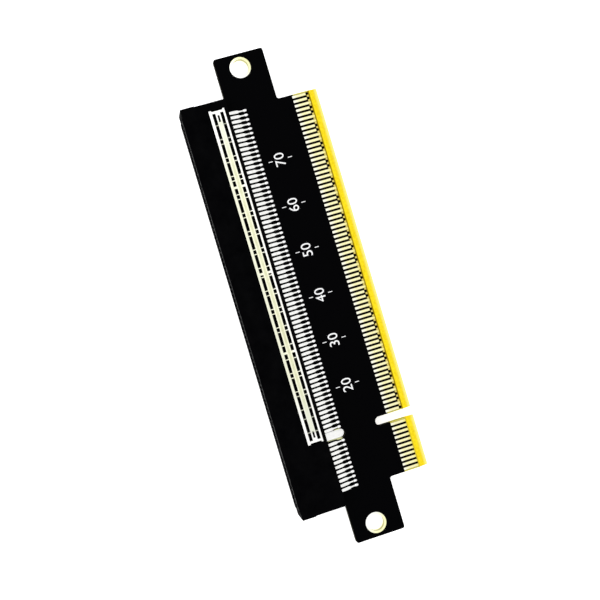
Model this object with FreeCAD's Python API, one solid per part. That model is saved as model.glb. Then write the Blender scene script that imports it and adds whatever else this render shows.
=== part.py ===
"""A flat riser card: a bare circuit board with a gold edge on one side and a matching slot on the other.

The board lies level. X runs along the rows of contacts, from contact 1 to contact 82. Y runs across the
card, from the gold edge to the mouth of the slot. Z is up. The origin is the middle of the card's outline,
on the plane of the slot housing's underside. All sizes are millimetres.
"""
import FreeCAD
import Part
import math
import os

V = FreeCAD.Vector

# How far a cut reaches past the surface that it opens
CUT_PAST = 1.0

# Contact rows: 82 contacts a side, with the key between contacts 11 and 12
PITCH = 1.0
KEY_SPACE = 3.0
SHORT_ROW_COUNT = 11
LONG_ROW_COUNT = 71

# Circuit board
BOARD_THICK = 1.6
EAR_WIDTH = 10.9
EAR_END_MARGIN = 3.0
EAR_CORNER_RADIUS = 0.5
TAB_DEPTH = 8.8
TAB_END_MARGIN = 0.6
INNER_CORNER_RADIUS = 0.5
BEVEL_LENGTH = 2.0
BEVEL_ANGLE = 16.0
NOTCH_WIDTH = 1.9
GOLD_NOTCH_DEPTH = 8.4
SLOT_NOTCH_DEPTH = 4.35

# Mounting holes, plated through
HOLE_SPACING = 101.0
HOLE_INSET = 5.2
HOLE_RADIUS = 1.75
PLATING_WALL = 0.06
PLATING_RIM_RADIUS = 2.25
PLATING_RIM_THICK = 0.04

# Gold fingers on the edge
FINGER_WIDTH = 0.6
FINGER_THICK = 0.04
FINGER_HEEL = 5.6
POWER_FINGER_HEEL = 5.35
LONG_FINGER_TOE = 2.05
SHORT_FINGER_TOE = 2.63

# Slot housing
HOUSING_THICK = 7.6
HOUSING_DEPTH = 9.9
HOUSING_END_WALL = 2.2
COLLAR_STEP = 0.15
COLLAR_DEPTH = 3.2
RIM_STEP = 0.15
RIM_WALL = 0.5
BOARD_GAP = 0.2
SLOT_CLEARANCE = 0.1
SLOT_END_CLEARANCE = 0.2
SLOT_DEPTH = 7.9
KEY_RIB_CLEARANCE = 0.1
KEY_RIB_SETBACK = 0.6
CAVITY_WIDTH = 0.7
CAVITY_DEPTH = 1.55
INSERT_STEP = 0.3
WINDOW_MARGIN = 0.12

# Contacts: a sprung beam in the slot and a tail that straddles the board's edge
CONTACT_WIDTH = 0.6
CONTACT_THICK = 0.2
BUMP_PROUD = 0.3
BUMP_SETBACK = 2.3
TIP_LENGTH = 1.1
TIP_RISE = 0.75
HEEL_RISE = 1.05
FOOT_LENGTH = 0.9
FOOT_REACH = 3.7
INSERT_END_LAND = 0.08

# Ground bars, one in a pocket on each face of the housing
BAR_INNER_RAIL_WIDTH = 0.4
BAR_OUTER_RAIL_WIDTH = 0.6
BAR_WINDOW_WIDTH = 0.66
BAR_BAND_WIDTH = 1.06
BAR_THICK = 0.3
BAR_RECESS = 0.05
BAR_BASE_WALL = 0.74
BAR_OVERHANG = 1.25
BAR_HORN = 0.25
BAR_CROSS_WIDTH = 0.5
BAR_CROSS_STATIONS = (30.4, 47.7, 66.5)
BAR_SLOT_LENGTH = 1.4
BAR_SLOT_WIDTH = 0.4
BAR_SLOT_INSET = 1.0
BAR_FINGER_WIDTH = 0.18
BAR_FINGER_HEIGHT = 0.2
POCKET_CLEARANCE = 0.08

# Long row contacts joined to ground, on the front face and on the back face
FRONT_GROUND = (13, 16, 18, 21, 22, 25, 26, 29, 32, 35, 36, 39, 40, 43, 44, 47, 49, 52, 53,
                56, 57, 60, 61, 64, 65, 68, 69, 72, 73, 76, 77, 80)
BACK_GROUND = (12, 15, 18, 20, 23, 24, 27, 28, 31, 34, 37, 38, 41, 42, 45, 46, 49, 51, 54, 55,
               58, 59, 62, 63, 66, 67, 70, 71, 74, 75, 78, 79, 82)
BACK_SHORT_POWER = (1,)

# Places along X
contact_count = SHORT_ROW_COUNT + LONG_ROW_COUNT
first_long = SHORT_ROW_COUNT + 1
row_span = (SHORT_ROW_COUNT - 1) * PITCH + KEY_SPACE + (LONG_ROW_COUNT - 1) * PITCH


def station(number):
    """X of a contact, or of a place between two contacts where the number is not whole."""
    start = -row_span / 2
    if number < first_long:
        return start + (number - 1) * PITCH
    return start + row_span - (contact_count - number) * PITCH


key_x = (station(SHORT_ROW_COUNT) + station(first_long)) / 2
tab_half = row_span / 2 + TAB_END_MARGIN
board_half = HOLE_SPACING / 2 + EAR_END_MARGIN
slot_half = tab_half + SLOT_END_CLEARANCE
rim_half = slot_half + RIM_WALL
housing_half = slot_half + HOUSING_END_WALL
collar_half = housing_half + COLLAR_STEP

# Places along Y
overall_width = HOUSING_DEPTH + BOARD_GAP + EAR_WIDTH + TAB_DEPTH
mouth_y = overall_width / 2
base_y = mouth_y - HOUSING_DEPTH
board_back_y = base_y - BOARD_GAP
ear_front_y = board_back_y - EAR_WIDTH
gold_edge_y = ear_front_y - TAB_DEPTH
hole_y = board_back_y - HOLE_INSET
slot_floor_y = mouth_y - SLOT_DEPTH
insert_top_y = slot_floor_y + INSERT_STEP
gold_notch_end_y = gold_edge_y + GOLD_NOTCH_DEPTH
slot_notch_end_y = board_back_y - SLOT_NOTCH_DEPTH

# Places along Z
mid_z = HOUSING_THICK / 2
board_top_z = mid_z + BOARD_THICK / 2
board_bottom_z = mid_z - BOARD_THICK / 2
slot_half_gap = BOARD_THICK / 2 + SLOT_CLEARANCE
cavity_back = slot_half_gap + CAVITY_DEPTH
notch_radius = NOTCH_WIDTH / 2

# The sprung beam's inner face, from the bump that meets a card to the heel where it leaves the housing
bump_y = mouth_y - BUMP_SETBACK
bump_z = mid_z + slot_half_gap - BUMP_PROUD
heel_z = board_top_z + HEEL_RISE
beam_slope = (bump_z - heel_z) / (bump_y - base_y)
beam_lift = CONTACT_THICK / math.cos(math.atan(beam_slope))


def block(x0, x1, y0, y1, z0, z1):
    """A square-cornered solid between two corners."""
    return Part.makeBox(x1 - x0, y1 - y0, z1 - z0, V(x0, y0, z0))


def bar_along_x(section, x0, x1):
    """A closed section of (y, z) points, drawn out along X."""
    points = [V(x0, y, z) for y, z in section]
    face = Part.Face(Part.makePolygon(points + points[:1]))
    return face.extrude(V(x1 - x0, 0, 0))


def to_back(shape):
    """The same piece on the other face, mirrored in the board's middle plane."""
    return shape.mirror(V(0, 0, mid_z), V(0, 0, 1))


def rounded_outline(corners, z):
    """A flat closed wire through (x, y, radius) corners, each rounded by a tangent arc."""
    edges = []
    starts = []
    ends = []
    count = len(corners)
    for i, (x, y, radius) in enumerate(corners):
        here = V(x, y, z)
        to_last = (V(*corners[i - 1][:2], z) - here).normalize()
        to_next = (V(*corners[(i + 1) % count][:2], z) - here).normalize()
        half_turn = to_last.getAngle(to_next) / 2
        inset = radius / math.tan(half_turn) if radius else 0
        starts.append(here + to_last * inset)
        ends.append(here + to_next * inset)
        if radius:
            bisector = (to_last + to_next).normalize()
            middle = here + bisector * (radius / math.sin(half_turn) - radius)
            edges.append(Part.Arc(starts[i], middle, ends[i]).toShape())
    for i in range(count):
        edges.append(Part.LineSegment(ends[i], starts[(i + 1) % count]).toShape())
    return Part.Wire(Part.__sortEdges__(edges))


def make_board():
    """The board: a strip with an ear at each end, and the tab that carries the gold fingers."""
    ear = EAR_CORNER_RADIUS
    corners = [
        (-board_half, board_back_y, ear),
        (board_half, board_back_y, ear),
        (board_half, ear_front_y, ear),
        (tab_half, ear_front_y, INNER_CORNER_RADIUS),
        (tab_half, gold_edge_y, 0),
        (-tab_half, gold_edge_y, 0),
        (-tab_half, ear_front_y, INNER_CORNER_RADIUS),
        (-board_half, ear_front_y, ear),
    ]
    outline = rounded_outline(corners, board_bottom_z)
    board = Part.Face(outline).extrude(V(0, 0, BOARD_THICK))

    bevel_drop = BEVEL_LENGTH * math.tan(math.radians(BEVEL_ANGLE))
    past_drop = (BEVEL_LENGTH + CUT_PAST) * math.tan(math.radians(BEVEL_ANGLE))
    bevel_section = [
        (gold_edge_y + BEVEL_LENGTH, board_top_z),
        (gold_edge_y - CUT_PAST, board_top_z - past_drop),
        (gold_edge_y - CUT_PAST, board_top_z + bevel_drop),
        (gold_edge_y + BEVEL_LENGTH, board_top_z + bevel_drop),
    ]
    bevel = bar_along_x(bevel_section, -tab_half - CUT_PAST, tab_half + CUT_PAST)

    cuts = [bevel, to_back(bevel)]
    low = board_bottom_z - CUT_PAST
    tall = BOARD_THICK + 2 * CUT_PAST
    notches = (
        (gold_edge_y - CUT_PAST, gold_notch_end_y - notch_radius, gold_notch_end_y - notch_radius),
        (slot_notch_end_y + notch_radius, board_back_y + CUT_PAST, slot_notch_end_y + notch_radius),
    )
    for y0, y1, round_y in notches:
        cuts.append(block(key_x - notch_radius, key_x + notch_radius, y0, y1, low, low + tall))
        cuts.append(Part.makeCylinder(notch_radius, tall, V(key_x, round_y, low)))
    for side in (-1, 1):
        centre = V(side * HOLE_SPACING / 2, hole_y, low)
        cuts.append(Part.makeCylinder(HOLE_RADIUS + PLATING_WALL, tall, centre))
    return board.cut(cuts)


def make_hole_plating(side):
    """Plated lining of one mounting hole, with a thin rim that tapers out on both faces of the board."""
    wall = HOLE_RADIUS + PLATING_WALL
    section = [
        (HOLE_RADIUS, board_bottom_z - PLATING_RIM_THICK),
        (PLATING_RIM_RADIUS, board_bottom_z),
        (wall, board_bottom_z),
        (wall, board_top_z),
        (PLATING_RIM_RADIUS, board_top_z),
        (HOLE_RADIUS, board_top_z + PLATING_RIM_THICK),
    ]
    x = side * HOLE_SPACING / 2
    points = [V(x + r, hole_y, z) for r, z in section]
    face = Part.Face(Part.makePolygon(points + points[:1]))
    return face.revolve(V(x, hole_y, 0), V(0, 0, 1), 360)


def make_finger(number, toe):
    """One gold finger on the front face, from its heel to its toe by the bevel."""
    heel = POWER_FINGER_HEEL if number < first_long else FINGER_HEEL
    x = station(number)
    half = FINGER_WIDTH / 2
    return block(x - half, x + half, gold_edge_y + toe, gold_edge_y + heel,
                 board_top_z, board_top_z + FINGER_THICK)


def contact_section():
    """Side view of one front contact, as (y, z) points: tip, bump, beam, bent tail and tapered foot."""
    foot_toe_y = board_back_y - FOOT_REACH
    return [
        (bump_y, bump_z),
        (bump_y + TIP_LENGTH, bump_z + TIP_RISE),
        (bump_y, bump_z + beam_lift),
        (base_y, heel_z + beam_lift),
        (foot_toe_y, board_top_z),
        (foot_toe_y + FOOT_LENGTH, board_top_z),
        (base_y, heel_z),
    ]


def make_contact(number):
    """One sprung contact of the front row."""
    x = station(number)
    half = CONTACT_WIDTH / 2
    return bar_along_x(contact_section(), x - half, x + half)


def window_range(first, last):
    """The X range of the opening in the housing's base that holds one insert."""
    half = CAVITY_WIDTH / 2 + WINDOW_MARGIN
    return station(first) - half, station(last) + half


def make_insert(first, last):
    """The moulded strip that closes the base behind one row, with a slit that grips its contacts."""
    x0, x1 = window_range(first, last)
    strip = block(x0, x1, base_y, insert_top_y, mid_z + slot_half_gap, mid_z + cavity_back)
    slit = []
    for y, lift in ((base_y, 0), (insert_top_y, 0), (insert_top_y, beam_lift), (base_y, beam_lift)):
        slit.append((y, heel_z + (y - base_y) * beam_slope + lift))
    return strip.cut(bar_along_x(slit, x0 + INSERT_END_LAND, x1 - INSERT_END_LAND))


bar_y0 = base_y + BAR_BASE_WALL
bar_width = BAR_INNER_RAIL_WIDTH + BAR_OUTER_RAIL_WIDTH + 2 * BAR_WINDOW_WIDTH + BAR_BAND_WIDTH
bar_y1 = bar_y0 + bar_width
bar_x0 = station(first_long) - BAR_OVERHANG - BAR_HORN
bar_x1 = station(contact_count) + BAR_OVERHANG
bar_top_z = HOUSING_THICK - BAR_RECESS
bar_low_z = bar_top_z - BAR_THICK
pocket_floor_z = bar_low_z - BAR_FINGER_HEIGHT


def make_ground_bar():
    """The stamped ladder over the long row: two rails, a middle band, crosses and end caps."""
    z0 = bar_low_z
    z1 = bar_top_z
    window = BAR_WINDOW_WIDTH
    rail_y0 = bar_y0 + BAR_INNER_RAIL_WIDTH
    rail_y1 = bar_y1 - BAR_OUTER_RAIL_WIDTH
    body_x0 = bar_x0 + BAR_HORN
    body_x1 = bar_x1 - BAR_HORN
    band_y0 = rail_y0 + window
    band_y1 = rail_y1 - window
    bar = block(bar_x0, bar_x1, bar_y0, bar_y1, z0, z1)

    # Between the horns the sheet stops short
    cuts = []
    for end_x, inner_x in ((bar_x0, body_x0), (body_x1, bar_x1)):
        cuts.append(block(end_x, inner_x, rail_y0, rail_y1, z0, z1))

    # Long windows each side of the band, broken at the crosses
    half_cross = BAR_CROSS_WIDTH / 2
    stops = [body_x0 + half_cross] + [station(n) for n in BAR_CROSS_STATIONS] + [body_x1 - half_cross]
    for left, right in zip(stops[:-1], stops[1:]):
        for y0 in (rail_y0, band_y1):
            cuts.append(block(left + half_cross, right - half_cross, y0, y0 + window, z0, z1))

    # A short slot in the band near each end
    middle = (band_y0 + band_y1) / 2
    for slot_x in (body_x0 + BAR_SLOT_INSET, body_x1 - BAR_SLOT_INSET - BAR_SLOT_LENGTH):
        cuts.append(block(slot_x, slot_x + BAR_SLOT_LENGTH, middle - BAR_SLOT_WIDTH / 2,
                          middle + BAR_SLOT_WIDTH / 2, z0, z1))
    return bar.cut(cuts)


def make_bar_finger(number):
    """One cross finger under the ground bar, over a contact joined to ground, with a coined lower edge."""
    x = station(number)
    half = BAR_FINGER_WIDTH / 2
    section = [
        V(x - half, bar_y0, bar_low_z),
        V(x + half, bar_y0, bar_low_z),
        V(x, bar_y0, pocket_floor_z),
    ]
    return Part.Face(Part.makePolygon(section + section[:1])).extrude(V(0, bar_width, 0))


def make_housing():
    """The slot housing: collar, end blocks, keyed slot, contact cavities, base openings and pockets."""
    collar_y = mouth_y - COLLAR_DEPTH
    body = block(-housing_half, housing_half, base_y, mouth_y - RIM_STEP, 0, HOUSING_THICK)
    collar = block(-collar_half, collar_half, collar_y, mouth_y - RIM_STEP, 0, HOUSING_THICK)
    rim = block(-rim_half, rim_half, collar_y, mouth_y, 0, HOUSING_THICK)
    housing = body.fuse([collar, rim]).removeSplitter()

    rib_half = notch_radius - KEY_RIB_CLEARANCE
    low = mid_z - slot_half_gap
    high = mid_z + slot_half_gap
    cuts = [
        block(-slot_half, key_x - rib_half, slot_floor_y, mouth_y + CUT_PAST, low, high),
        block(key_x + rib_half, slot_half, slot_floor_y, mouth_y + CUT_PAST, low, high),
        block(key_x - rib_half, key_x + rib_half, mouth_y - KEY_RIB_SETBACK, mouth_y + CUT_PAST, low, high),
    ]

    # A cavity for each contact, open to the slot and to the mouth
    for number in range(1, contact_count + 1):
        x = station(number)
        half = CAVITY_WIDTH / 2
        cavity = block(x - half, x + half, insert_top_y, mouth_y + CUT_PAST, high, mid_z + cavity_back)
        cuts += [cavity, to_back(cavity)]

    # Openings through the base for the inserts, and a pocket for each ground bar
    for first, last in ((1, SHORT_ROW_COUNT), (first_long, contact_count)):
        x0, x1 = window_range(first, last)
        window = block(x0, x1, base_y - CUT_PAST, insert_top_y, high, mid_z + cavity_back)
        cuts += [window, to_back(window)]
    gap = POCKET_CLEARANCE
    pocket = block(bar_x0 - gap, bar_x1 + gap, bar_y0 - gap, bar_y1 + gap,
                   pocket_floor_z, HOUSING_THICK + CUT_PAST)
    cuts += [pocket, to_back(pocket)]
    return housing.cut(cuts)


def groups(ground):
    """Contact numbers sorted into power, ground and signal groups; the short row carries power."""
    power = list(range(1, first_long))
    signal = [n for n in range(first_long, contact_count + 1) if n not in ground]
    return {"power": power, "ground": list(ground), "signal": signal}


def finger_toe(kind, number, short_power):
    """How far a finger stops from the gold edge: signal fingers are short, the rest long."""
    if kind == "signal" or number in short_power:
        return SHORT_FINGER_TOE
    return LONG_FINGER_TOE


def main():
    os.makedirs("parts", exist_ok=True)
    nodes = {
        "circuit_board": make_board(),
        "hole_plating": Part.makeCompound([make_hole_plating(-1), make_hole_plating(1)]),
        "slot_housing": make_housing(),
    }
    faces = (("front", FRONT_GROUND, (), lambda shape: shape),
             ("back", BACK_GROUND, BACK_SHORT_POWER, to_back))
    for face, ground, short_power, place in faces:
        for kind, numbers in groups(ground).items():
            fingers = [place(make_finger(n, finger_toe(kind, n, short_power))) for n in numbers]
            nodes[f"edge_fingers_{face}_{kind}"] = Part.makeCompound(fingers)
            contacts = [place(make_contact(n)) for n in numbers]
            nodes[f"contacts_{face}_{kind}"] = Part.makeCompound(contacts)
        nodes[f"contact_insert_{face}_short"] = place(make_insert(1, SHORT_ROW_COUNT))
        nodes[f"contact_insert_{face}_long"] = place(make_insert(first_long, contact_count))
        nodes[f"ground_bar_{face}"] = place(make_ground_bar())
        cross_fingers = [place(make_bar_finger(n)) for n in ground]
        nodes[f"ground_bar_fingers_{face}"] = Part.makeCompound(cross_fingers)
    for name, shape in nodes.items():
        shape.exportStep(f"parts/{name}.step")


main()
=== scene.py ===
"""Looks of a flat riser card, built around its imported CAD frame.

The board, its hole plating, the contact inserts and the bars' cross fingers stay as the frame has them, and
take a finish. The contacts, edge fingers, slot housing and ground bars are made again in the same places,
with the detail that the frame leaves out. Solder, mask spots and contact numbers are added. Sizes are
millimetres until a piece is placed.
"""
import math
from types import SimpleNamespace

import bmesh
import bpy
from mathutils import Matrix, Vector


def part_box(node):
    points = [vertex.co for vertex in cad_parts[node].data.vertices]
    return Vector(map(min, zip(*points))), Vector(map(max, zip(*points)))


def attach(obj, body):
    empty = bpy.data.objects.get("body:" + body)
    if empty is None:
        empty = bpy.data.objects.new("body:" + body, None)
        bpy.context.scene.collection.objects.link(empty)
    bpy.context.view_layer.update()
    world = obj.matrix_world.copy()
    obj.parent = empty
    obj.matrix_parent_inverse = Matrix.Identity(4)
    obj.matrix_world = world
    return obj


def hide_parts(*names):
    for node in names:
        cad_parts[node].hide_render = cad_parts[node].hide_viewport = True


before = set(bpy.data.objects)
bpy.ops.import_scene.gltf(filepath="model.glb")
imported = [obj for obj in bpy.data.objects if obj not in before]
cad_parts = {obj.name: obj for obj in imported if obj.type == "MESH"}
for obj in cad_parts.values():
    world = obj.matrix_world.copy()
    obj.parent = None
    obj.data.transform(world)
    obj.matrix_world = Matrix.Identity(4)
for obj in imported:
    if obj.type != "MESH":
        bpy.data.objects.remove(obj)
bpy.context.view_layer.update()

MM = 0.001

# Contact rows, and the numbers of the ground contacts on each face
PITCH = 1.0
KEY_SPACE = 3.0
SHORT_ROW = 11
CONTACT_COUNT = 82
FRONT_GROUND = (13, 16, 18, 21, 22, 25, 26, 29, 32, 35, 36, 39, 40, 43, 44, 47, 49, 52, 53,
                56, 57, 60, 61, 64, 65, 68, 69, 72, 73, 76, 77, 80)
BACK_GROUND = (12, 15, 18, 20, 23, 24, 27, 28, 31, 34, 37, 38, 41, 42, 45, 46, 49, 51, 54, 55,
               58, 59, 62, 63, 66, 67, 70, 71, 74, 75, 78, 79, 82)
KINDS = ("power", "ground", "signal")

# Faces of the board: name, side of its middle plane, and the turn of a copy on it
FACES = (("front", 1, 0.0), ("back", -1, math.pi))

# A contact from tip to foot: reach from the housing's base, height over the board's middle plane, width
CONTACT_PATH = (
    (8.65, 1.42, 0.26), (8.35, 1.16, 0.34), (8.05, 0.92, 0.40), (7.8, 0.77, 0.42), (7.6, 0.71, 0.43),
    (7.35, 0.73, 0.44), (6.9, 0.81, 0.45), (3.8, 1.32, 0.48), (2.0, 1.62, 0.50), (0.1, 1.94, 0.52),
    (-0.25, 1.97, 0.54), (-0.6, 1.89, 0.60), (-0.9, 1.79, 0.63), (-1.7, 1.48, 0.63), (-2.0, 1.35, 0.60),
    (-2.2, 1.26, 0.43), (-2.45, 1.15, 0.30), (-2.8, 1.02, 0.27), (-3.1, 0.94, 0.29), (-3.5, 0.905, 0.34),
    (-3.8, 0.90, 0.33), (-3.9, 0.90, 0.24),
)
CONTACT_THICK = 0.2

# Solder joints: the mound's size, its rings as shares of width and height, and how it climbs to the tail
JOINT_CENTRE_MARGIN = 3.45
JOINT_WIDTH = 0.63
JOINT_LENGTH = 0.98
JOINT_HEIGHT = 0.3
JOINT_STEPS = 14
JOINT_RINGS = ((1.0, -0.03), (1.0, 0.02), (0.93, 0.45), (0.72, 0.8), (0.38, 0.97))
JOINT_ROUNDNESS = 0.75
JOINT_CLIMB = 0.25
JOINT_SPREAD = 0.05
JOINT_SEED = 4

# Edge fingers: where their tone changes above the tab's nose, and the painted shade in from their sides
FINGER_CORNER = 0.12
FINGER_THICK = 0.04
CORNER_STEPS = 3
TOE_FADE = (2.1, 2.8)
HEEL_FADE = (4.1, 5.5)
SHOULDER_SHADE_FADE = (0.02, 0.07)

# Mask spots beyond the short fingers
SPOT_WIDTH = 0.6
SPOT_LENGTH = 0.6
SPOT_CORNER = 0.2
SPOT_THICK = 0.03

# Solder mask's lower edge, above the tab's nose
SHORT_ROW_MASK_START = 2.03
LONG_ROW_MASK_START = 2.45
FACE_TOLERANCE = 0.006

# Bevel: a painted highlight along its nose, and a line of painted shade about its upper edge that is fainter
# along the short row
BEVEL_LENGTH = 2.0
NOSE_HIGHLIGHT_LENGTH = 0.95
SHADE_LINE_START = (-0.3, -0.14)
SHADE_LINE_END = (0.03, 0.13)
SHORT_ROW_SHADE = 0.35
BEVEL_TOLERANCE = 0.002

# Cut walls, which turn olive about the fingers' heels
WALL_FADE = 0.4

# Bare laminate of the notch at the slot's side, in from the board's back edge, and the strip beside it
NOTCH_HALF = 0.95
NOTCH_STRIP = 0.18
NOTCH_BARE_START = (3.2, 3.7)
NOTCH_BARE_END = (2.15, 2.45)

# Relief of the mask: copper traces, and the weave of the laminate
TRACE_FADE = (0.10, 0.17)
TRACE_ROWS_MARGIN = 0.4
TRACE_START = 5.3
TRACE_END = 3.9
TRACE_DEPTH = 0.03
WEAVE_RATE = 13.0
WEAVE_HEIGHT = 0.08

# Hole plating: the reach of the painted reflection that changes the rim's tone, and the painted shade down
# the wall
RIM_REFLECTION_REACH = 2.4
HOLE_SHADE = (0.5, 1.6)
RIM_TOLERANCE = 0.02

# Ground bars: the band's middle from the bar's inner edge, and where tones change off it and from the ends
BAND_MARGIN = 1.59
CREAM_FADE = (0.12, 0.45)
RAIL_FADE = (0.7, 1.0)
RAIL_REACH = 1.0
END_FADE = (3.0, 15.0)
END_BAND_FADE = (0.3, 0.6)
CAP_FADE = (2.0, 2.6)
UNDER_BAR_TOLERANCE = 0.01

# Softened edges, and the lead-in round the slot's mouth
HOUSING_EDGE = 0.12
STAMPED_EDGE = 0.05
LEAD_IN = 0.35

# Which edges are softened, in millimetres and degrees
SLOT_HALF_GAP = 0.9
COLLAR_DEPTH = 0.4
END_DEPTH = 0.5
SHORTEST_EDGE = 0.2
ON_PLANE = 0.01
FLAT_ANGLE = 1
SHARP_ANGLE = 40

# The mouth's face, which cards wipe smoother
WIPED_END_MARGIN = 2.3
WIPED_DEPTH = (0.01, 0.12)
WIPED_SHARE = 0.3

# Printed contact numbers, with the font's size as a multiple of the digits' height
MARK_NUMBERS = (20, 30, 40, 50, 60, 70)
MARK_HEIGHT = 2.3
MARK_FONT_RATIO = 1.35
MARK_LINE_MARGIN = 7.8
MARK_THICK = 0.02
TICK_WIDTH = 0.16
TICK_LENGTH = 0.9
TICK_GAP = 1.0

# Depth of streaks and grain, and how far gloss strays from a finish's roughness
STREAK_DEPTH = 0.004
GRAIN_DEPTH = 0.012
GRAIN_FLOW_SCALE = 0.4
GRAIN_FLOW_HEIGHT = 0.6
METAL_GLOSS_PATCHES = 2.7
METAL_GLOSSIER = 0.8
METAL_DULLER = 1.25
PLASTIC_GLOSSIER = 0.06
PLASTIC_DULLER = 0.08
BARE_ROUGHER = 0.3

# The photograph's view, in millimetres, degrees and pixels
VIEW_TARGET = (-0.309, 1.58, 4.6)
VIEW_TILT = 8.0
VIEW_LEAN = 1.04
VIEW_ROLL = 16.635
VIEW_DISTANCE = 227.5
VIEW_NEAREST = 5.0
VIEW_PIXELS_PER_MM = 4.707
IMAGE_SIZE = 600
SENSOR_WIDTH = 36.0

# Floor and light
WHITE = (1.0, 1.0, 1.0, 1.0)
FLOOR_WHITE = (0.9, 0.9, 0.9, 1.0)
FLOOR_GLOW = 0.7
FLOOR_HALF = 2000.0
FLOOR_GAP = 0.02
LIGHT_PLACE = (150.0, 250.0, 500.0)
LIGHT_SIZE = 500.0
LIGHT_POWER = 0.9


def box_of(node):
    """Low and high corners of a CAD node."""
    low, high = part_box(node)
    return low / MM, high / MM


board_low, board_high = box_of("circuit_board")
housing_low, housing_high = box_of("slot_housing")
hole_low, hole_high = box_of("hole_plating")
bar_low, bar_high = box_of("ground_bar_front")
power_low, power_high = box_of("edge_fingers_front_power")
MID_Z = (board_low.z + board_high.z) / 2
BOARD_HALF = (board_high.z - board_low.z) / 2
FIRST_X = -((CONTACT_COUNT - 2) * PITCH + KEY_SPACE) / 2
KEY_X = FIRST_X + (SHORT_ROW - 1) * PITCH + KEY_SPACE / 2
FINGER_WIDTH = 2 * (FIRST_X - power_low.x)
FINGER_HEEL = power_high.y - board_low.y
EVERY_CONTACT = tuple(range(1, CONTACT_COUNT + 1))


def station(number):
    """X of a contact."""
    past_key = KEY_SPACE - PITCH if number > SHORT_ROW else 0.0
    return FIRST_X + (number - 1) * PITCH + past_key


def display(red, green, blue):
    """A linear colour from its display values, 0 to 255."""
    linear = []
    for value in (red, green, blue):
        share = value / 255
        linear.append(share / 12.92 if share <= 0.04045 else ((share + 0.055) / 1.055) ** 2.4)
    return (*linear, 1.0)


# Colours of the board
MASK_BLACK = display(2, 2, 3)
WALL_DARK = display(30, 29, 20)
WALL_LIGHT = display(54, 52, 36)
WALL_BY_FINGERS = display(178, 170, 60)
WALL_OF_NOTCH = display(246, 248, 204)
BEVEL_YELLOW = display(248, 224, 38)
BEVEL_OCHRE = display(226, 196, 24)
# painted highlight along the bevel's nose
BEVEL_NOSE_HIGHLIGHT = display(242, 234, 138)
# painted shade along the bevel's upper edge
BEVEL_EDGE_SHADE = display(138, 114, 4)
STRIP_BELOW_MASK = display(214, 196, 104)
STRIP_BY_FINGERS = display(196, 188, 92)
STRIP_BY_NOTCH = display(206, 208, 152)
INK_WHITE = display(250, 250, 250)
INK_THIN = display(225, 226, 228)

# Colours of the metal
GOLD_LIGHT = display(254, 250, 200)
GOLD_DARK = display(247, 238, 178)
GOLD_TOE = display(246, 236, 140)
GOLD_HEEL = display(255, 254, 238)
# painted shade along the fingers' sides
GOLD_SHOULDER_SHADE = display(96, 90, 56)
# painted reflection on the hole's rims, from pale to creamy
RIM_PAINTED_PALE = display(255, 255, 250)
RIM_PAINTED_CREAM = display(255, 254, 198)
# painted shade at the top of the hole's wall, fading to plain gold lower down
HOLE_PAINTED_SHADE = display(158, 149, 50)
HOLE_LIGHT = display(252, 249, 190)
PLATE_LIGHT = display(255, 255, 254)
PLATE_DARK = display(240, 240, 236)
SOLDER_LIGHT = display(255, 255, 255)
SOLDER_DARK = display(246, 246, 246)
CREAM_LIGHT = display(229, 230, 198)
CREAM_DARK = display(212, 213, 174)
BAND_SIDE = display(248, 248, 222)
INNER_RAIL = display(255, 255, 247)
OUTER_RAIL = display(234, 235, 212)
END_BAND = display(230, 232, 214)
END_SIDE = display(255, 255, 251)
END_FINGER = display(176, 177, 162)
END_CAP = display(254, 254, 250)

# Colours of the plastic, dark and light
HOUSING_BLACK = (display(2, 2, 3), display(6, 6, 7))
INSERT_BLACK = (display(5, 5, 6), display(9, 9, 10))
SPOT_BLACK = (display(4, 3, 3), display(8, 7, 7))


# Node helpers

def connect(tree, node, inputs):
    """Sets or links each named or numbered input of a node."""
    for key, value in inputs.items():
        if isinstance(value, bpy.types.NodeSocket):
            tree.links.new(value, node.inputs[key])
        else:
            node.inputs[key].default_value = value


def add_node(tree, kind, inputs=None, **settings):
    """A node with its settings and inputs."""
    node = tree.nodes.new(kind)
    for name, value in settings.items():
        setattr(node, name, value)
    connect(tree, node, inputs or {})
    return node


def calculate(tree, operation, first, second=0.0, third=0.0):
    """The result of one Math node, in a shader tree or a geometry tree."""
    return add_node(tree, "ShaderNodeMath", {0: first, 1: second, 2: third}, operation=operation).outputs[0]


def multiply(tree, first, *others):
    """The product of some values, or the place where some masks overlap."""
    product = first
    for value in others:
        product = calculate(tree, "MULTIPLY", product, value)
    return product


def inverse(tree, mask):
    """What a mask leaves out."""
    return calculate(tree, "SUBTRACT", 1.0, mask)


def above(tree, value, limit):
    """A mask of where a value is over a limit."""
    return calculate(tree, "GREATER_THAN", value, limit)


def below(tree, value, limit):
    """A mask of where a value is under a limit."""
    return calculate(tree, "LESS_THAN", value, limit)


def distance_from(tree, value, centre):
    """How far a value is from a centre, to either side."""
    return calculate(tree, "ABSOLUTE", calculate(tree, "SUBTRACT", value, centre))


def rise(tree, value, low, high):
    """Goes smoothly from 0 to 1 while a value goes from low to high."""
    return add_node(tree, "ShaderNodeMapRange", {"Value": value, "From Min": low, "From Max": high},
                    interpolation_type="SMOOTHSTEP").outputs[0]


def fall(tree, value, low, high):
    """Goes smoothly from 1 to 0 while a value goes from low to high."""
    return inverse(tree, rise(tree, value, low, high))


def mix_colour(tree, factor, first, second):
    """One colour turning into another."""
    return add_node(tree, "ShaderNodeMix", {"Factor": factor, 6: first, 7: second},
                    data_type="RGBA").outputs[2]


def combine(tree, x=0.0, y=0.0, z=0.0):
    """One vector from its three values."""
    return add_node(tree, "ShaderNodeCombineXYZ", {0: x, 1: y, 2: z}).outputs[0]


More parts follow.
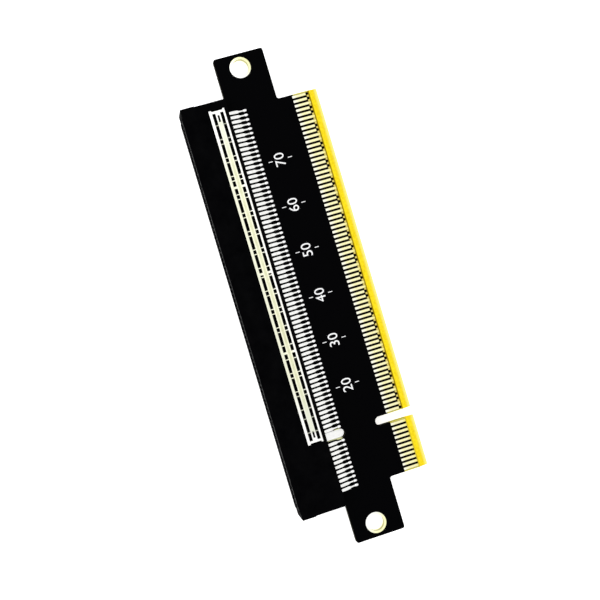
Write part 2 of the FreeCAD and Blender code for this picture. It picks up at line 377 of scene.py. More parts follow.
def place_in_mm(tree):
    """The place on the part in millimetres, as one vector and as its X, Y and Z."""
    coordinates = add_node(tree, "ShaderNodeTexCoord").outputs["Object"]
    scaled = add_node(tree, "ShaderNodeVectorMath", {"Vector": coordinates, "Scale": 1 / MM},
                      operation="SCALE").outputs[0]
    return scaled, add_node(tree, "ShaderNodeSeparateXYZ", {0: scaled}).outputs


def off_contact_axis(tree, x):
    """How far a place is along X from the nearest contact's axis."""
    return calculate(tree, "PINGPONG", calculate(tree, "SUBTRACT", x, FIRST_X), PITCH / 2)


# Shared effects

def new_effect(name, sizes, result):
    """An empty shader group with a named input for each size, and its result."""
    tree = bpy.data.node_groups.new(name, "ShaderNodeTree")
    for label, value in sizes.items():
        socket = tree.interface.new_socket(label, in_out="INPUT", socket_type="NodeSocketFloat")
        socket.default_value = value
    tree.interface.new_socket(result, in_out="OUTPUT", socket_type="NodeSocketFloat")
    return tree, tree.nodes.new("NodeGroupInput").outputs, tree.nodes.new("NodeGroupOutput").inputs


def make_mottle():
    """Soft patches, as on plated metal and moulded plastic."""
    tree, sizes, results = new_effect("mottle", {"Patches per mm": 1.0, "Low": 0.0, "High": 1.0}, "Amount")
    place, _ = place_in_mm(tree)
    noise = add_node(tree, "ShaderNodeTexNoise", {"Vector": place, "Scale": sizes["Patches per mm"],
                                                  "Detail": 3.0, "Roughness": 0.6}).outputs[0]
    amount = add_node(tree, "ShaderNodeMapRange",
                      {"Value": noise, "From Min": 0.3, "From Max": 0.7,
                       "To Min": sizes["Low"], "To Max": sizes["High"]}).outputs[0]
    tree.links.new(amount, results["Amount"])
    return tree


def make_brushing():
    """Fine lines along Y, as rolling and insertion leave on sheet metal."""
    tree, sizes, results = new_effect("brushing", {"Lines per mm": 20.0, "Streaks per mm": 0.8}, "Height")
    _, (x, y, z) = place_in_mm(tree)
    stretched = combine(tree, multiply(tree, x, sizes["Lines per mm"]),
                        multiply(tree, y, sizes["Streaks per mm"]), z)
    noise = add_node(tree, "ShaderNodeTexNoise",
                     {"Vector": stretched, "Scale": 1.0, "Detail": 2.0, "Roughness": 0.5}).outputs[0]
    tree.links.new(noise, results["Height"])
    return tree


def make_grain():
    """Pebbled texture of a filled plastic moulding."""
    tree, sizes, results = new_effect("moulded_grain", {"Pebbles per mm": 6.0}, "Height")
    place, _ = place_in_mm(tree)
    pebbles = add_node(tree, "ShaderNodeTexVoronoi",
                       {"Vector": place, "Scale": sizes["Pebbles per mm"], "Smoothness": 0.6},
                       feature="SMOOTH_F1").outputs["Distance"]
    flow_scale = multiply(tree, sizes["Pebbles per mm"], GRAIN_FLOW_SCALE)
    flow = add_node(tree, "ShaderNodeTexNoise", {"Vector": place, "Scale": flow_scale}).outputs[0]
    tree.links.new(calculate(tree, "MULTIPLY_ADD", flow, GRAIN_FLOW_HEIGHT, pebbles), results["Height"])
    return tree


MOTTLE = make_mottle()
BRUSHING = make_brushing()
GRAIN = make_grain()


def use_effect(tree, group, values):
    """The result of a shared effect, with its own values."""
    return add_node(tree, "ShaderNodeGroup", values, node_tree=group).outputs[0]


# Finishes

def new_finish(name):
    """An empty material and its tree and Principled shader."""
    material = bpy.data.materials.new(name)
    material.use_nodes = True
    tree = material.node_tree
    return material, tree, tree.nodes["Principled BSDF"]


def relief(tree, height, depth):
    """A normal from a height between 0 and 1, and its depth."""
    return add_node(tree, "ShaderNodeBump", {"Height": height, "Distance": depth * MM,
                                             "Strength": 1.0}).outputs[0]


def make_plating(name, light, dark, patches, roughness, lines):
    """A plated metal whose tone and gloss change in patches, with fine lines."""
    material, tree, shader = new_finish(name)
    tone = use_effect(tree, MOTTLE, {"Patches per mm": patches})
    gloss = use_effect(tree, MOTTLE, {"Patches per mm": patches * METAL_GLOSS_PATCHES,
                                      "Low": roughness * METAL_GLOSSIER, "High": roughness * METAL_DULLER})
    streaks = use_effect(tree, BRUSHING, {"Lines per mm": lines})
    connect(tree, shader, {"Base Color": mix_colour(tree, tone, light, dark), "Metallic": 1.0,
                           "Roughness": gloss, "Normal": relief(tree, streaks, STREAK_DEPTH)})
    return material


def read_board(tree):
    """Where a point of the board lies, as the sockets that the board's finish is worked out from."""
    place, (x, y, z) = place_in_mm(tree)
    return SimpleNamespace(
        place=place, x=x, y=y,
        from_nose=calculate(tree, "SUBTRACT", y, board_low.y),
        from_back=calculate(tree, "SUBTRACT", board_high.y, y),
        off_key=distance_from(tree, x, KEY_X),
        past_key=above(tree, x, KEY_X),
        on_face=above(tree, distance_from(tree, z, MID_Z), BOARD_HALF - FACE_TOLERANCE))


def find_finger_strip(tree, board):
    """A mask of the bare laminate at the tab's ends and at the key, as far up as the fingers go."""
    at_key = below(tree, board.off_key, (KEY_SPACE - FINGER_WIDTH) / 2)
    at_ends = above(tree, calculate(tree, "ABSOLUTE", board.x), FINGER_WIDTH / 2 - FIRST_X)
    beside = calculate(tree, "MAXIMUM", at_key, at_ends)
    return multiply(tree, beside, below(tree, board.from_nose, FINGER_HEEL))


def find_notch(tree, board):
    """Masks of the straight walls of the notch at the slot's side, and of the bare strip beside them."""
    near = below(tree, board.off_key, NOTCH_HALF + NOTCH_STRIP)
    walls = multiply(tree, near, fall(tree, board.from_back, *NOTCH_BARE_START))
    return walls, multiply(tree, walls, rise(tree, board.from_back, *NOTCH_BARE_END))


def find_solder_mask(tree, board, bare_strips):
    """A mask of the faces that are black: above the bevel, and off the bare strips."""
    start = calculate(tree, "MULTIPLY_ADD", board.past_key, LONG_ROW_MASK_START - SHORT_ROW_MASK_START,
                      SHORT_ROW_MASK_START)
    return multiply(tree, board.on_face, above(tree, board.from_nose, start), inverse(tree, bare_strips))


def paint_walls(tree, board, notch_walls):
    """Cut walls: thin layers of glass, olive by the fingers and pale in the notch at the slot's side."""
    layers = add_node(tree, "ShaderNodeTexWave",
                      {"Vector": board.place, "Scale": 1.4, "Distortion": 1.2, "Detail": 2.0},
                      bands_direction="Z").outputs["Fac"]
    walls = mix_colour(tree, layers, WALL_DARK, WALL_LIGHT)
    by_fingers = fall(tree, board.from_nose, FINGER_HEEL - WALL_FADE, FINGER_HEEL + WALL_FADE)
    walls = mix_colour(tree, by_fingers, walls, WALL_BY_FINGERS)
    return mix_colour(tree, notch_walls, walls, WALL_OF_NOTCH)


def paint_bevel(tree, board):
    """The bevel's yellow laminate, with a painted highlight along the nose."""
    fibres = use_effect(tree, MOTTLE, {"Patches per mm": 2.2})
    cut = mix_colour(tree, fibres, BEVEL_YELLOW, BEVEL_OCHRE)
    return mix_colour(tree, fall(tree, board.from_nose, 0.0, NOSE_HIGHLIGHT_LENGTH), cut, BEVEL_NOSE_HIGHLIGHT)


def find_bevel_line(tree, board, past_bevel):
    """A mask of the line of painted shade along the bevel's upper edge."""
    strength = calculate(tree, "MULTIPLY_ADD", board.past_key, 1 - SHORT_ROW_SHADE, SHORT_ROW_SHADE)
    return multiply(tree, rise(tree, past_bevel, *SHADE_LINE_START), fall(tree, past_bevel, *SHADE_LINE_END), strength)


def raise_traces(tree, board):
    """A normal from the copper that runs under the mask from finger to pad, and from the laminate's weave."""
    in_rows = below(tree, calculate(tree, "ABSOLUTE", board.x), TRACE_ROWS_MARGIN - FIRST_X)
    traces = multiply(tree, fall(tree, off_contact_axis(tree, board.x), *TRACE_FADE), in_rows,
                      above(tree, board.from_nose, TRACE_START), above(tree, board.from_back, TRACE_END))
    weave_x = calculate(tree, "SINE", multiply(tree, board.x, WEAVE_RATE))
    weave_y = calculate(tree, "SINE", multiply(tree, board.y, WEAVE_RATE))
    weave = multiply(tree, weave_x, weave_y, WEAVE_HEIGHT)
    return relief(tree, calculate(tree, "ADD", traces, weave), TRACE_DEPTH)


def make_board_finish():
    """Black solder mask over glass-epoxy laminate, which is bare on cut walls, the bevel and a few strips."""
    material, tree, shader = new_finish("board_finish")
    board = read_board(tree)
    finger_strip = find_finger_strip(tree, board)
    notch_walls, notch_strip = find_notch(tree, board)
    masked = find_solder_mask(tree, board, calculate(tree, "MAXIMUM", finger_strip, notch_strip))

    past_bevel = calculate(tree, "SUBTRACT", board.from_nose, BEVEL_LENGTH)
    on_bevel = below(tree, past_bevel, -BEVEL_TOLERANCE)
    bare = mix_colour(tree, on_bevel, paint_walls(tree, board, notch_walls), paint_bevel(tree, board))
    strips = mix_colour(tree, finger_strip, STRIP_BELOW_MASK, STRIP_BY_FINGERS)
    strips = mix_colour(tree, notch_strip, strips, STRIP_BY_NOTCH)
    bare = mix_colour(tree, calculate(tree, "SUBTRACT", board.on_face, masked), bare, strips)
    # a line of painted shade along the bevel's upper edge
    bare = mix_colour(tree, find_bevel_line(tree, board, past_bevel), bare, BEVEL_EDGE_SHADE)

    satin = use_effect(tree, MOTTLE, {"Patches per mm": 0.5, "Low": 0.38, "High": 0.5})
    rough = calculate(tree, "MULTIPLY_ADD", inverse(tree, masked), BARE_ROUGHER, satin)
    connect(tree, shader, {"Base Color": mix_colour(tree, masked, bare, MASK_BLACK), "Roughness": rough,
                           "Specular IOR Level": 0.012, "Normal": raise_traces(tree, board)})
    return material


def make_plastic(name, dark, light, roughness, pebbles):
    """A matt black moulding."""
    material, tree, shader = new_finish(name)
    patches = use_effect(tree, MOTTLE, {"Patches per mm": 0.35})
    gloss = use_effect(tree, MOTTLE, {"Patches per mm": 1.6, "Low": roughness - PLASTIC_GLOSSIER,
                                      "High": roughness + PLASTIC_DULLER})
    grain = use_effect(tree, GRAIN, {"Pebbles per mm": pebbles})
    connect(tree, shader, {"Base Color": mix_colour(tree, patches, dark, light), "Roughness": gloss,
                           "Specular IOR Level": 0.01, "Normal": relief(tree, grain, GRAIN_DEPTH)})
    return material


def make_housing_plastic():
    """The housing's moulding, with the face of the slot's mouth wiped smoother in patches by cards."""
    material = make_plastic("housing_plastic", *HOUSING_BLACK, roughness=0.8, pebbles=5.0)
    tree = material.node_tree
    _, (x, y, _) = place_in_mm(tree)
    at_mouth = fall(tree, calculate(tree, "SUBTRACT", housing_high.y, y), *WIPED_DEPTH)
    over_slot = below(tree, calculate(tree, "ABSOLUTE", x), housing_high.x - WIPED_END_MARGIN)
    share = use_effect(tree, MOTTLE, {"Patches per mm": 1.1, "Low": 0.0, "High": WIPED_SHARE})
    connect(tree, tree.nodes["Principled BSDF"], {"Coat Weight": multiply(tree, at_mouth, over_slot, share),
                                                  "Coat Roughness": 0.45})
    return material


def make_finger_finish():
    """Hard gold, yellower at the toe, whiter at the heel and with painted shade on its shoulders, with fine
    wiped lines.
    """
    material, tree, shader = new_finish("finger_gold")
    _, (x, y, _) = place_in_mm(tree)
    from_nose = calculate(tree, "SUBTRACT", y, board_low.y)
    from_side = calculate(tree, "SUBTRACT", FINGER_WIDTH / 2, off_contact_axis(tree, x))
    tone = use_effect(tree, MOTTLE, {"Patches per mm": 1.3})
    gold = mix_colour(tree, tone, GOLD_LIGHT, GOLD_DARK)
    gold = mix_colour(tree, fall(tree, from_nose, *TOE_FADE), gold, GOLD_TOE)
    gold = mix_colour(tree, rise(tree, from_nose, *HEEL_FADE), gold, GOLD_HEEL)
    # painted shade along each finger's sides
    gold = mix_colour(tree, fall(tree, from_side, *SHOULDER_SHADE_FADE), gold, GOLD_SHOULDER_SHADE)
    streaks = use_effect(tree, BRUSHING, {"Lines per mm": 16.0, "Streaks per mm": 0.5})
    gloss = use_effect(tree, MOTTLE, {"Patches per mm": 3.0, "Low": 0.2, "High": 0.32})
    connect(tree, shader, {"Base Color": gold, "Metallic": 1.0, "Roughness": gloss,
                           "Normal": relief(tree, streaks, STREAK_DEPTH)})
    return material


def make_hole_finish():
    """Plated hole: rims with a painted creamy reflection towards the board's end and gold edge, and painted
    shade down the wall.
    """
    material, tree, shader = new_finish("hole_gold")
    _, (x, y, z) = place_in_mm(tree)
    hole_x = hole_high.x - (hole_high.y - hole_low.y) / 2
    endwards = calculate(tree, "SUBTRACT", calculate(tree, "ABSOLUTE", x), hole_x)
    goldwards = calculate(tree, "SUBTRACT", (hole_low.y + hole_high.y) / 2, y)
    # painted reflection: creamier towards the board's end and gold edge
    outer = rise(tree, calculate(tree, "ADD", endwards, goldwards), -RIM_REFLECTION_REACH, RIM_REFLECTION_REACH)
    rim = mix_colour(tree, outer, RIM_PAINTED_PALE, RIM_PAINTED_CREAM)
    depth = calculate(tree, "SUBTRACT", board_high.z, z)
    # painted shade down the wall
    wall = mix_colour(tree, rise(tree, depth, *HOLE_SHADE), HOLE_PAINTED_SHADE, HOLE_LIGHT)
    on_wall = calculate(tree, "SUBTRACT", above(tree, depth, RIM_TOLERANCE),
                        above(tree, depth, 2 * BOARD_HALF - RIM_TOLERANCE))
    gloss = use_effect(tree, MOTTLE, {"Patches per mm": 2.2, "Low": 0.24, "High": 0.36})
    connect(tree, shader, {"Base Color": mix_colour(tree, on_wall, rim, wall), "Metallic": 1.0,
                           "Roughness": gloss})
    return material


def paint_bar_end(tree, off_middle, z):
    """The bar near its ends, with the cross fingers that lie under it there."""
    band = mix_colour(tree, rise(tree, off_middle, *END_BAND_FADE), END_BAND, END_SIDE)
    under_bar = below(tree, distance_from(tree, z, MID_Z), bar_low.z - MID_Z + UNDER_BAR_TOLERANCE)
    return mix_colour(tree, under_bar, band, END_FINGER)


def make_bar_finish():
    """Plated bar: bright rails, a band that is creamier along its middle, and whiter ends."""
    material, tree, shader = new_finish("bar_plate")
    _, (x, y, z) = place_in_mm(tree)
    across = calculate(tree, "SUBTRACT", y, bar_low.y + BAND_MARGIN)
    off_middle = calculate(tree, "ABSOLUTE", across)
    half = (bar_high.x - bar_low.x) / 2
    from_end = calculate(tree, "SUBTRACT", half, distance_from(tree, x, bar_low.x + half))
    patches = use_effect(tree, MOTTLE, {"Patches per mm": 0.7})
    cream = mix_colour(tree, patches, CREAM_LIGHT, CREAM_DARK)
    band = mix_colour(tree, rise(tree, off_middle, *CREAM_FADE), cream, BAND_SIDE)
    rails = mix_colour(tree, rise(tree, across, -RAIL_REACH, RAIL_REACH), INNER_RAIL, OUTER_RAIL)
    tone = mix_colour(tree, rise(tree, off_middle, *RAIL_FADE), band, rails)
    tone = mix_colour(tree, fall(tree, from_end, *END_FADE), tone, paint_bar_end(tree, off_middle, z))
    tone = mix_colour(tree, fall(tree, from_end, *CAP_FADE), tone, END_CAP)
    streaks = use_effect(tree, BRUSHING, {"Lines per mm": 3.0, "Streaks per mm": 9.0})
    gloss = use_effect(tree, MOTTLE, {"Patches per mm": 1.9, "Low": 0.26, "High": 0.4})
    connect(tree, shader, {"Base Color": tone, "Metallic": 1.0, "Roughness": gloss,
                           "Normal": relief(tree, streaks, STREAK_DEPTH)})
    return material


def make_ink():
    """White marking ink, a little uneven."""
    material, tree, shader = new_finish("marking_ink")
    cover = use_effect(tree, MOTTLE, {"Patches per mm": 4.0})
    connect(tree, shader, {"Base Color": mix_colour(tree, cover, INK_WHITE, INK_THIN),
                           "Roughness": 0.6, "Specular IOR Level": 0.3})
    return material


BOARD_FINISH = make_board_finish()
FINGER_GOLD = make_finger_finish()
HOLE_GOLD = make_hole_finish()
CONTACT_PLATE = make_plating("contact_plate", PLATE_LIGHT, PLATE_DARK, patches=0.9, roughness=0.24,
                             lines=20.0)
SOLDER = make_plating("solder", SOLDER_LIGHT, SOLDER_DARK, patches=1.4, roughness=0.2, lines=2.0)
BAR_PLATE = make_bar_finish()
HOUSING_PLASTIC = make_housing_plastic()
INSERT_PLASTIC = make_plastic("insert_plastic", *INSERT_BLACK, roughness=0.58, pebbles=7.0)
MASK_SPOT = make_plastic("mask_spot", *SPOT_BLACK, roughness=0.45, pebbles=8.0)
MARKING_INK = make_ink()


# Geometry trees

def new_form(name, numbers, others):
    """An empty geometry tree with named inputs, and its input and output sockets."""
    tree = bpy.data.node_groups.new(name, "GeometryNodeTree")
    tree.interface.new_socket("Geometry", in_out="INPUT", socket_type="NodeSocketGeometry")
    for label, value in numbers.items():
        kind = "NodeSocketInt" if isinstance(value, int) else "NodeSocketFloat"
        tree.interface.new_socket(label, in_out="INPUT", socket_type=kind).default_value = value
    for label, kind in others:
        tree.interface.new_socket(label, in_out="INPUT", socket_type=kind)
    tree.interface.new_socket("Geometry", in_out="OUTPUT", socket_type="NodeSocketGeometry")
    return tree, tree.nodes.new("NodeGroupInput").outputs, tree.nodes.new("NodeGroupOutput").inputs


def place_points(tree, points, sizes):
    """Moves the points to their stations, and drops those that aren't kept."""
    index = add_node(tree, "GeometryNodeInputIndex").outputs[0]
    past_key = above(tree, index, calculate(tree, "SUBTRACT", sizes["Short Row"], 0.5))
    along = calculate(tree, "MULTIPLY_ADD", index, sizes["Pitch"], sizes["First X"])
    key_step = calculate(tree, "SUBTRACT", sizes["Key Space"], sizes["Pitch"])
    x = calculate(tree, "MULTIPLY_ADD", past_key, key_step, along)
    place = combine(tree, x, sizes["Row Y"], sizes["Row Z"])
    moved = add_node(tree, "GeometryNodeSetPosition", {"Geometry": points, "Position": place}).outputs[0]
    kept = add_node(tree, "GeometryNodeInputNamedAttribute", {"Name": "kept"}, data_type="FLOAT").outputs[0]
    return add_node(tree, "GeometryNodeDeleteGeometry",
                    {"Geometry": moved, "Selection": below(tree, kept, 0.5)}).outputs[0]


def spread_copies(tree, points, sizes, copy):
    """Puts a copy on each point that is kept, turned to its face and a little uneven in size."""
    low = calculate(tree, "SUBTRACT", 1.0, sizes["Size Spread"])
    high = calculate(tree, "ADD", 1.0, sizes["Size Spread"])
    scale = add_node(tree, "FunctionNodeRandomValue",
                     {"Min": combine(tree, low, low, low), "Max": combine(tree, high, high, high),
                      "Seed": sizes["Seed"]}, data_type="FLOAT_VECTOR").outputs[0]
    rotation = add_node(tree, "FunctionNodeEulerToRotation", {0: combine(tree, y=sizes["Turn"])}).outputs[0]
    return add_node(tree, "GeometryNodeInstanceOnPoints",
                    {"Points": place_points(tree, points, sizes), "Instance": copy,
                     "Rotation": rotation, "Scale": scale}).outputs[0]


def close_form(tree, shape, finish, output):
    """Ends a tree: copies become a mesh of their own and take the finish."""
    real = add_node(tree, "GeometryNodeRealizeInstances", {"Geometry": shape}).outputs[0]
    done = add_node(tree, "GeometryNodeSetMaterial", {"Geometry": real, "Material": finish}).outputs[0]
    tree.links.new(done, output["Geometry"])


ROW_SIZES = {"Pitch": PITCH * MM, "Key Space": KEY_SPACE * MM, "First X": FIRST_X * MM,
             "Short Row": SHORT_ROW, "Row Y": 0.0, "Row Z": 0.0, "Turn": 0.0, "Size Spread": 0.0, "Seed": 1}


def make_row_tree():
    """A row of copies of one object, with the key's space after the short row."""
    tree, sizes, output = new_form("contact_row", ROW_SIZES,
                                   (("Copy", "NodeSocketObject"), ("Finish", "NodeSocketMaterial")))
    copy = add_node(tree, "GeometryNodeObjectInfo", {"Object": sizes["Copy"]}).outputs["Geometry"]
    close_form(tree, spread_copies(tree, sizes["Geometry"], sizes, copy), sizes["Finish"], output)
    return tree


def make_plate_tree():
    """A row of thin plates with rounded corners, standing on the row's plane."""
    plate = dict.fromkeys(("Width", "Length", "Corner", "Thickness"), 0.0)
    tree, sizes, output = new_form("plate_row", {**ROW_SIZES, **plate}, (("Finish", "NodeSocketMaterial"),))
    outline = add_node(tree, "GeometryNodeCurvePrimitiveQuadrilateral",
                       {"Width": sizes["Width"], "Height": sizes["Length"]}).outputs[0]
    rounded = add_node(tree, "GeometryNodeFilletCurve",
                       {"Curve": outline, "Radius": sizes["Corner"], "Count": CORNER_STEPS},
                       mode="POLY").outputs[0]
    face = add_node(tree, "GeometryNodeFillCurve", {"Curve": rounded}, mode="NGONS").outputs[0]
    raised = add_node(tree, "GeometryNodeExtrudeMesh", {"Mesh": face, "Offset Scale": sizes["Thickness"],
                                                        "Individual": False}).outputs[0]
    under = add_node(tree, "GeometryNodeFlipFaces", {"Mesh": face}).outputs[0]
    joined = add_node(tree, "GeometryNodeJoinGeometry")
    for part in (raised, under):
        tree.links.new(part, joined.inputs[0])
    closed = add_node(tree, "GeometryNodeMergeByDistance",
                      {"Geometry": joined.outputs[0], "Distance": 0.001 * MM}).outputs[0]
    close_form(tree, spread_copies(tree, sizes["Geometry"], sizes, closed), sizes["Finish"], output)
    return tree


ROW_TREE = make_row_tree()
PLATE_TREE = make_plate_tree()


def bake_row(name, tree, values, kept):
    """A piece from one tree: its points, its values, and the plain mesh that they give."""
    points = bpy.data.meshes.new(name + "_points")
    points.from_pydata([(0, 0, 0)] * CONTACT_COUNT, [], [])
    flags = points.attributes.new("kept", "FLOAT", "POINT")
    flags.data.foreach_set("value", [1.0 if number in kept else 0.0 for number in EVERY_CONTACT])
    piece = bpy.data.objects.new(name, points)
    bpy.context.scene.collection.objects.link(piece)
    modifier = piece.modifiers.new("form", "NODES")
    modifier.node_group = tree
    for socket in tree.interface.items_tree:
        if socket.in_out == "INPUT" and socket.name in values:
            modifier[socket.identifier] = values[socket.name]
    bpy.context.view_layer.update()
    graph = bpy.context.evaluated_depsgraph_get()
    piece_mesh = bpy.data.meshes.new_from_object(piece.evaluated_get(graph), depsgraph=graph)
    piece.modifiers.remove(modifier)
    piece.data = piece_mesh
    return piece


def hand_over(piece, nodes=()):
    """Fixes a finished piece to the part, and hides the CAD nodes that it stands for."""
    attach(piece, "root")
    if nodes:
        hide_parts(*nodes)


# Copies for the rows

def new_template(name, form):
    """An object from a bmesh, kept only until its row is made."""
    bmesh.ops.remove_doubles(form, verts=form.verts, dist=1e-8)
    bmesh.ops.recalc_face_normals(form, faces=form.faces)
    mesh = bpy.data.meshes.new(name)
    form.to_mesh(mesh)
    form.free()
    template = bpy.data.objects.new(name, mesh)
    bpy.context.scene.collection.objects.link(template)
    return template


def join_rings(form, rings):
    """Faces from each ring of corners to the next, and over both ends."""
    count = len(rings[0])
    for ring, following in zip(rings[:-1], rings[1:]):
        for k in range(count):
            form.faces.new((ring[k], ring[(k + 1) % count], following[(k + 1) % count], following[k]))
    form.faces.new(rings[0])
    form.faces.new(rings[-1])


def make_contact_template():
    """One stamped contact: tip, bump, beam, wide tail, neck and foot."""
    form = bmesh.new()
    rings = []
    for i, (reach, z, width) in enumerate(CONTACT_PATH):
        before = CONTACT_PATH[max(i - 1, 0)]
        after = CONTACT_PATH[min(i + 1, len(CONTACT_PATH) - 1)]
        run = Vector((0, after[0] - before[0], after[1] - before[1])).normalized()
        out = Vector((0, run.z, -run.y)) * CONTACT_THICK / 2
        middle = Vector((0, housing_low.y + reach, z))
        corners = []
        for side, face in ((-1, -1), (1, -1), (1, 1), (-1, 1)):
            corner = middle + out * face + Vector((side * width / 2, 0, 0))
            corners.append(form.verts.new(corner * MM))
        rings.append(corners)
    join_rings(form, rings)
    return new_template("contact_template", form)


def make_joint_template():
    """One solder joint: a rounded mound, higher where the tail comes in."""
    form = bmesh.new()
    rings = []
    for share, rise_share in JOINT_RINGS:
        ring = []
        for k in range(JOINT_STEPS):
            angle = 2 * math.pi * k / JOINT_STEPS
            across = math.copysign(abs(math.cos(angle)) ** JOINT_ROUNDNESS, math.cos(angle))
            along = math.copysign(abs(math.sin(angle)) ** JOINT_ROUNDNESS, math.sin(angle))
            height = rise_share * (1 + JOINT_CLIMB * along * share) * JOINT_HEIGHT
            corner = Vector((across * share * JOINT_WIDTH / 2, along * share * JOINT_LENGTH / 2, height))
            ring.append(form.verts.new(corner * MM))
        rings.append(ring)
    join_rings(form, rings)
    return new_template("joint_template", form)


# Rows of contacts, joints and fingers

def make_contact_rows():
    """Both rows of contacts, and the solder on their feet."""
    contact = make_contact_template()
    joint = make_joint_template()
    for face, side, turn in FACES:
        row = bake_row(f"contact_row_{face}", ROW_TREE,
                       {"Row Z": MID_Z * MM, "Turn": turn, "Copy": contact, "Finish": CONTACT_PLATE},
                       EVERY_CONTACT)
        row.data.shade_flat()
        hand_over(row, [f"contacts_{face}_{kind}" for kind in KINDS])
        joints = bake_row(f"solder_joints_{face}", ROW_TREE,
                          {"Row Y": (board_high.y - JOINT_CENTRE_MARGIN) * MM,
                           "Row Z": (MID_Z + side * BOARD_HALF) * MM, "Turn": turn,
                           "Size Spread": JOINT_SPREAD, "Seed": JOINT_SEED, "Copy": joint, "Finish": SOLDER},
                          EVERY_CONTACT)
        joints.data.shade_smooth()
        hand_over(joints)
    for template in (contact, joint):
        bpy.data.objects.remove(template)


def make_finger_rows():
    """Fingers with rounded corners in place of the plain ones, and the spots beyond the short ones."""
    grounds = {"front": FRONT_GROUND, "back": BACK_GROUND}
    for face, side, turn in FACES:
        face_z = (MID_Z + side * BOARD_HALF) * MM
        short = [n for n in EVERY_CONTACT if n > SHORT_ROW and n not in grounds[face]]
        for kind in KINDS:
            node = f"edge_fingers_{face}_{kind}"
            low, high = box_of(node)
            kept = {"power": EVERY_CONTACT[:SHORT_ROW], "ground": grounds[face], "signal": short}[kind]
            row = bake_row(f"fingers_{face}_{kind}", PLATE_TREE,
                           {"Row Y": (low.y + high.y) / 2 * MM, "Row Z": face_z, "Turn": turn,
                            "Width": FINGER_WIDTH * MM, "Length": (high.y - low.y) * MM,
                            "Corner": FINGER_CORNER * MM, "Thickness": FINGER_THICK * MM,
                            "Finish": FINGER_GOLD}, kept)
            hand_over(row, [node])
        toe = box_of(f"edge_fingers_{face}_signal")[0].y
        spots = bake_row(f"mask_spots_{face}", PLATE_TREE,
                         {"Row Y": (toe - SPOT_LENGTH / 2) * MM, "Row Z": face_z, "Turn": turn,
                          "Width": SPOT_WIDTH * MM, "Length": SPOT_LENGTH * MM, "Corner": SPOT_CORNER * MM,
                          "Thickness": SPOT_THICK * MM, "Finish": MASK_SPOT}, short)
        hand_over(spots)


# Softened mouldings and stampings

def soften(name, node, finish, cuts):
    """A copy of a CAD node with some sharp edges cut or rounded: a width, steps and a test for each kind."""
    form = bmesh.new()
    form.from_mesh(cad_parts[node].data)
    bmesh.ops.remove_doubles(form, verts=form.verts, dist=1e-6)
    bmesh.ops.dissolve_limit(form, angle_limit=math.radians(FLAT_ANGLE), verts=form.verts, edges=form.edges)
    for width, steps, wanted in cuts:
        sharp = [edge for edge in form.edges if len(edge.link_faces) == 2 and edge.is_convex
                 and edge.calc_face_angle(0.0) > math.radians(SHARP_ANGLE) and wanted(edge)]
        bmesh.ops.bevel(form, geom=sharp, offset=width * MM, segments=steps, profile=0.5, affect="EDGES",
                        clamp_overlap=False)
    mesh = bpy.data.meshes.new(name)
    form.to_mesh(mesh)
    form.free()
    mesh.materials.append(finish)
    piece = bpy.data.objects.new(name, mesh)
    bpy.context.scene.collection.objects.link(piece)
    hand_over(piece, [node])


def is_mouth_edge(edge):
    """Whether an edge borders the slot in the plane of its mouth."""
    for vertex in edge.verts:
        _, y, z = vertex.co / MM
        if y < housing_high.y - ON_PLANE or abs(z - MID_Z) > SLOT_HALF_GAP + ON_PLANE:
            return False
    return True


def is_outer_edge(edge):
    """Whether an edge runs round the outside of the housing, away from the cavities and pockets."""
    if edge.calc_length() < SHORTEST_EDGE * MM:
        return False
    reach = housing_high.x - END_DEPTH
    for vertex in edge.verts:
        x, y, z = vertex.co / MM
        on_skin = z < ON_PLANE or z > housing_high.z - ON_PLANE or abs(x) > reach
        on_end = y < housing_low.y + ON_PLANE or y > housing_high.y - COLLAR_DEPTH
        if not on_skin:
            return False
        if abs(x) < reach and not on_end:
            return False
    return True


def make_softened_pieces():
    """The housing with its lead-in and rounded outside, and both ground bars with rounded edges."""
    soften("housing_moulding", "slot_housing", HOUSING_PLASTIC,
           ((LEAD_IN, 1, is_mouth_edge), (HOUSING_EDGE, 2, is_outer_edge)))
    for face in ("front", "back"):
        soften(f"bar_stamping_{face}", f"ground_bar_{face}", BAR_PLATE,
               ((STAMPED_EDGE, 2, lambda edge: True),))


# Printed numbers

def add_digits(form, number, place):
    """Adds a number's raised digits to a bmesh, centred on a place."""
    curve = bpy.data.curves.new(f"number_{number}", "FONT")
    curve.body = str(number)
    curve.size = MARK_HEIGHT * MARK_FONT_RATIO * MM
    curve.extrude = MARK_THICK / 2 * MM
    curve.resolution_u = 3
    curve.align_x = "CENTER"
    curve.align_y = "CENTER"
    text = bpy.data.objects.new(curve.name, curve)
    bpy.context.scene.collection.objects.link(text)
    bpy.context.view_layer.update()
    graph = bpy.context.evaluated_depsgraph_get()
    digits = bpy.data.meshes.new_from_object(text.evaluated_get(graph), depsgraph=graph)
    digits.transform(Matrix.Translation(place * MM))
    form.from_mesh(digits)
    bpy.data.objects.remove(text)


def make_marks():
    """White contact numbers along the bare middle of the board, with a tick on either side of each."""
    form = bmesh.new()
    tick = Matrix.Diagonal((TICK_WIDTH * MM, TICK_LENGTH * MM, MARK_THICK * MM, 1))
    for number in MARK_NUMBERS:
        place = Vector((station(number), board_high.y - MARK_LINE_MARGIN, board_high.z + MARK_THICK / 2))
        add_digits(form, number, place)
        for side in (-1, 1):
            offset = Vector((0, side * (MARK_HEIGHT / 2 + TICK_GAP), 0))
            bmesh.ops.create_cube(form, size=1.0, matrix=Matrix.Translation((place + offset) * MM) @ tick)
    mesh = bpy.data.meshes.new("contact_numbers")
    form.to_mesh(mesh)
    form.free()
    mesh.materials.append(MARKING_INK)
    piece = bpy.data.objects.new("contact_numbers", mesh)
    bpy.context.scene.collection.objects.link(piece)
    hand_over(piece)


# Finishes of the CAD nodes that stay

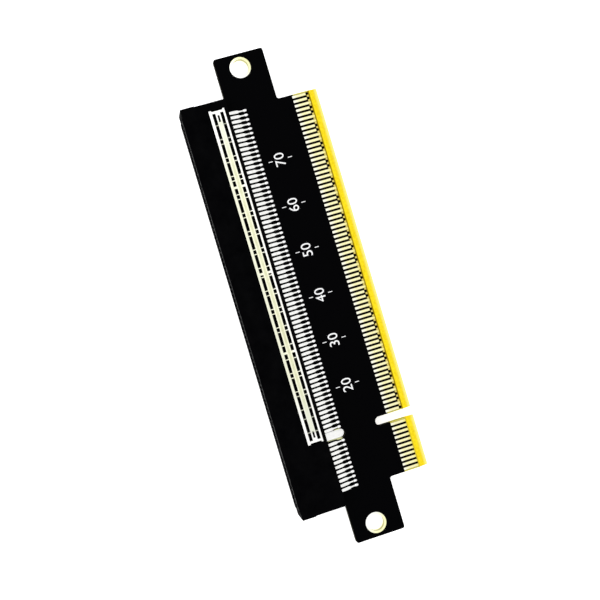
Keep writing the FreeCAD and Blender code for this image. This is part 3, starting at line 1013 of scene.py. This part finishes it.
def finish_nodes():
    """Gives each CAD node that isn't replaced its own finish."""
    finishes = {"circuit_board": BOARD_FINISH, "hole_plating": HOLE_GOLD}
    for face in ("front", "back"):
        finishes[f"ground_bar_fingers_{face}"] = BAR_PLATE
        for row in ("short", "long"):
            finishes[f"contact_insert_{face}_{row}"] = INSERT_PLASTIC
    for node, finish in finishes.items():
        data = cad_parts[node].data
        data.materials.clear()
        data.materials.append(finish)


# View, floor and light

def make_camera():
    """The photograph's view: nearly straight down, leaning towards the slot."""
    tilt, lean, roll = (math.radians(angle) for angle in (VIEW_TILT, VIEW_LEAN, VIEW_ROLL))
    towards = Vector((math.sin(lean), math.sin(tilt) * math.cos(lean), math.cos(tilt) * math.cos(lean)))
    along = Vector((1, 0, 0))
    along = (along - towards * towards.x).normalized()
    across = towards.cross(along)
    right = -math.sin(roll) * along - math.cos(roll) * across
    up = math.cos(roll) * along - math.sin(roll) * across
    data = bpy.data.cameras.new("view")
    data.sensor_width = SENSOR_WIDTH
    data.lens = VIEW_PIXELS_PER_MM * VIEW_DISTANCE / IMAGE_SIZE * SENSOR_WIDTH
    data.clip_start = VIEW_NEAREST * MM
    camera = bpy.data.objects.new("view", data)
    camera.matrix_world = Matrix((right, up, towards)).transposed().to_4x4()
    camera.location = (Vector(VIEW_TARGET) + towards * VIEW_DISTANCE) * MM
    bpy.context.scene.collection.objects.link(camera)
    bpy.context.scene.camera = camera


def make_floor():
    """A plain white floor that lights itself, so that shadows on it stay faint."""
    mesh = bpy.data.meshes.new("floor")
    half = FLOOR_HALF * MM
    mesh.from_pydata([(-half, -half, 0), (half, -half, 0), (half, half, 0), (-half, half, 0)], [],
                     [(0, 1, 2, 3)])
    floor = bpy.data.objects.new("floor", mesh)
    floor.location.z = -FLOOR_GAP * MM
    material, tree, shader = new_finish("floor_white")
    connect(tree, shader, {"Base Color": FLOOR_WHITE, "Roughness": 0.9, "Specular IOR Level": 0.0,
                           "Emission Color": WHITE, "Emission Strength": FLOOR_GLOW})
    mesh.materials.append(material)
    bpy.context.scene.collection.objects.link(floor)


def make_light():
    """An even white room, and one broad soft light over the slot's side."""
    world = bpy.data.worlds.new("room")
    world.use_nodes = True
    connect(world.node_tree, world.node_tree.nodes["Background"], {"Color": WHITE, "Strength": 1.0})
    bpy.context.scene.world = world
    data = bpy.data.lights.new("soft_light", "AREA")
    data.energy = LIGHT_POWER
    data.size = LIGHT_SIZE * MM
    light = bpy.data.objects.new("soft_light", data)
    light.location = Vector(LIGHT_PLACE) * MM
    light.rotation_euler = (-light.location).to_track_quat("-Z", "Y").to_euler()
    bpy.context.scene.collection.objects.link(light)
    bpy.context.scene.view_settings.view_transform = "Standard"


make_camera()
make_contact_rows()
make_finger_rows()
make_softened_pieces()
make_marks()
finish_nodes()
make_floor()
make_light()
